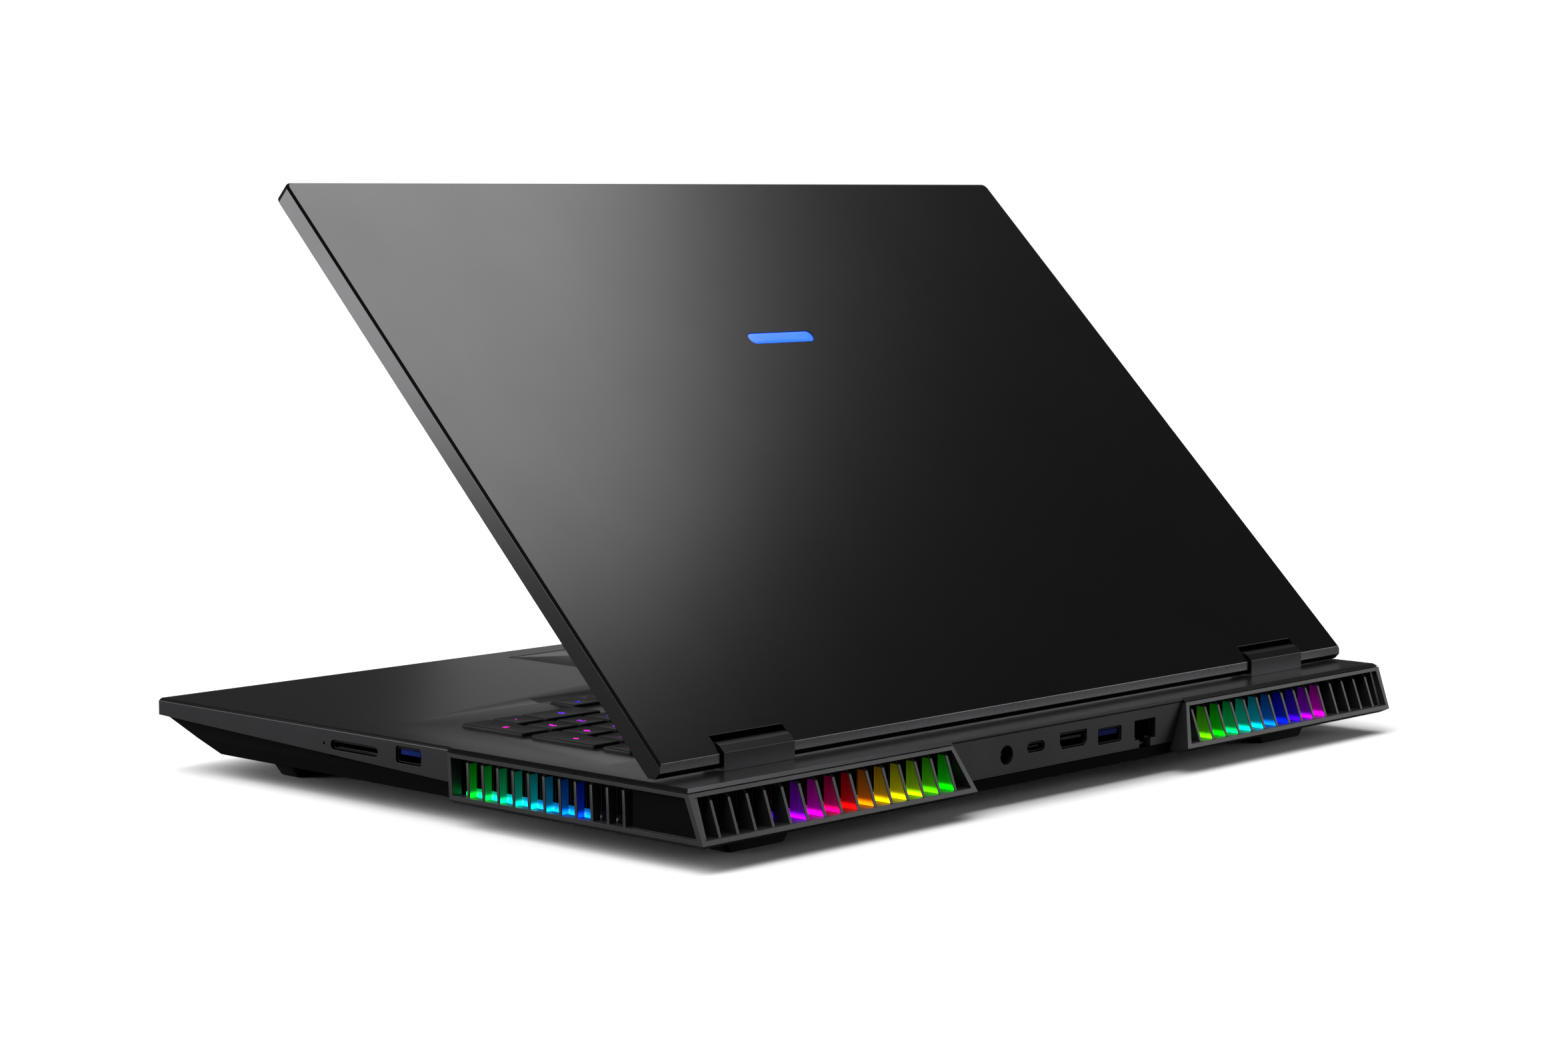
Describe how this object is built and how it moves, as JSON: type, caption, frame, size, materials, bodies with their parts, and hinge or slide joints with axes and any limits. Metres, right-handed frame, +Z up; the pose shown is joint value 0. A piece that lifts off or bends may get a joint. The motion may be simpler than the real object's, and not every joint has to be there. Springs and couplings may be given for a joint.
{
  "type": "laptop computer",
  "caption": "Gaming laptop with a part-open lid, numeric keypad, slatted corner vents with light strips, and rear sockets.",
  "frame": {"origin": "on the floor, under the middle of the box around the whole laptop with its lid part open", "axes": "+X to the user's right, -Y towards the user (front edge), +Z up"},
  "size_m": [0.3952, 0.292, 0.221],
  "materials": {
    "dark_alloy": "dark grey anodised, finely bead-blasted",
    "tub_plastic": "fine moulded grain, near black",
    "grille_plastic": "smooth satin moulding",
    "bezel_plastic": "fine matte grain",
    "screen": "anti-glare coated, switched off",
    "keycap_plastic": "soft matte with translucent legends",
    "touch_surface": "satin etched glass look",
    "steel": "plain rolled sheet",
    "usb_insert": "dark blue insert in a steel shell",
    "copper": "bare copper",
    "circuit_board": "solder resist",
    "black_plastic": "plain moulded",
    "rubber": "matte",
    "light_guide": "lit translucent bar"
  },
  "bodies": {
    "base": {"top_case": "dark_alloy", "rear_port_panel": "dark_alloy", "hinge_cover_right": "dark_alloy", "hinge_cover_left": "dark_alloy", "bottom_case": "tub_plastic", "vent_grille_right": "grille_plastic", "vent_grille_left": "grille_plastic", "keyboard_plate": "steel", "hinge_bracket_right": "steel", "hinge_bracket_left": "steel", "usb_c_port": "steel", "hdmi_port": "steel", "card_reader": "steel", "audio_jack": "steel", "usb_a_port_rear": "usb_insert", "usb_a_port_right": "usb_insert", "usb_a_port_left": "usb_insert", "heatsink_side_right": "copper", "heatsink_side_left": "copper", "heatsink_rear_right": "copper", "heatsink_rear_left": "copper", "heat_pipe_right": "copper", "heat_pipe_left": "copper", "motherboard": "circuit_board", "ssd_module": "circuit_board", "memory_module": "circuit_board", "battery_pack": "black_plastic", "fan_housing_right": "black_plastic", "fan_housing_left": "black_plastic", "speaker_right": "black_plastic", "speaker_left": "black_plastic", "ethernet_port": "black_plastic", "dc_jack": "black_plastic", "foot_rear_right": "rubber", "foot_rear_left": "rubber", "foot_front_right": "rubber", "foot_front_left": "rubber", "light_strip_right": "light_guide", "light_strip_left": "light_guide"},
    "lid": {"lid_back_cover": "dark_alloy", "screen_bezel": "bezel_plastic", "lcd_panel": "screen", "lid_light_bar": "light_guide", "webcam": "black_plastic", "lid_bumper": "rubber", "hinge_arm_right": "steel", "hinge_arm_left": "steel"},
    "key_row_bottom": {"key_row_bottom": "keycap_plastic"},
    "key_row_lower": {"key_row_lower": "keycap_plastic"},
    "key_row_home": {"key_row_home": "keycap_plastic"},
    "key_row_upper": {"key_row_upper": "keycap_plastic"},
    "key_row_number": {"key_row_number": "keycap_plastic"},
    "key_row_function": {"key_row_function": "keycap_plastic"},
    "arrow_keys": {"arrow_keys": "keycap_plastic"},
    "numpad_keys": {"numpad_keys": "keycap_plastic"},
    "touchpad": {"touchpad": "touch_surface"},
    "power_button": {"power_button": "keycap_plastic"},
    "fan_right": {"fan_impeller_right": "black_plastic"},
    "fan_left": {"fan_impeller_left": "black_plastic"}
  },
  "joints": [
    {"name": "lid_hinge", "type": "hinge", "parent": "base", "child": "lid", "pos_m": [0, 0.1196, 0.03165], "axis": [-1, 0, 0], "range_deg": [-44.7, 85.3]},
    {"name": "key_row_bottom_press", "type": "slide", "parent": "base", "child": "key_row_bottom", "axis": [0, 0, -1], "range_m": [0, 0.0015], "stiffness_N_per_m": 400, "springref_m": -0.001},
    {"name": "key_row_lower_press", "type": "slide", "parent": "base", "child": "key_row_lower", "axis": [0, 0, -1], "range_m": [0, 0.0015], "stiffness_N_per_m": 400, "springref_m": -0.001},
    {"name": "key_row_home_press", "type": "slide", "parent": "base", "child": "key_row_home", "axis": [0, 0, -1], "range_m": [0, 0.0015], "stiffness_N_per_m": 400, "springref_m": -0.001},
    {"name": "key_row_upper_press", "type": "slide", "parent": "base", "child": "key_row_upper", "axis": [0, 0, -1], "range_m": [0, 0.0015], "stiffness_N_per_m": 400, "springref_m": -0.001},
    {"name": "key_row_number_press", "type": "slide", "parent": "base", "child": "key_row_number", "axis": [0, 0, -1], "range_m": [0, 0.0015], "stiffness_N_per_m": 400, "springref_m": -0.001},
    {"name": "key_row_function_press", "type": "slide", "parent": "base", "child": "key_row_function", "axis": [0, 0, -1], "range_m": [0, 0.0015], "stiffness_N_per_m": 400, "springref_m": -0.001},
    {"name": "arrow_key_press", "type": "slide", "parent": "base", "child": "arrow_keys", "axis": [0, 0, -1], "range_m": [0, 0.0015], "stiffness_N_per_m": 400, "springref_m": -0.001},
    {"name": "numpad_key_press", "type": "slide", "parent": "base", "child": "numpad_keys", "axis": [0, 0, -1], "range_m": [0, 0.0015], "stiffness_N_per_m": 400, "springref_m": -0.001},
    {"name": "touchpad_click", "type": "slide", "parent": "base", "child": "touchpad", "axis": [0, 0, -1], "range_m": [0, 0.0004], "stiffness_N_per_m": 2500, "springref_m": -0.0006},
    {"name": "power_button_press", "type": "slide", "parent": "base", "child": "power_button", "axis": [0, 0, -1], "range_m": [0, 0.0006], "stiffness_N_per_m": 400, "springref_m": -0.001},
    {"name": "fan_right_spin", "type": "hinge", "parent": "base", "child": "fan_right", "pos_m": [0.132, 0.065, 0.0147], "axis": [0, 0, 1], "continuous": true},
    {"name": "fan_left_spin", "type": "hinge", "parent": "base", "child": "fan_left", "pos_m": [-0.132, 0.065, 0.0147], "axis": [0, 0, 1], "continuous": true}
  ]
}
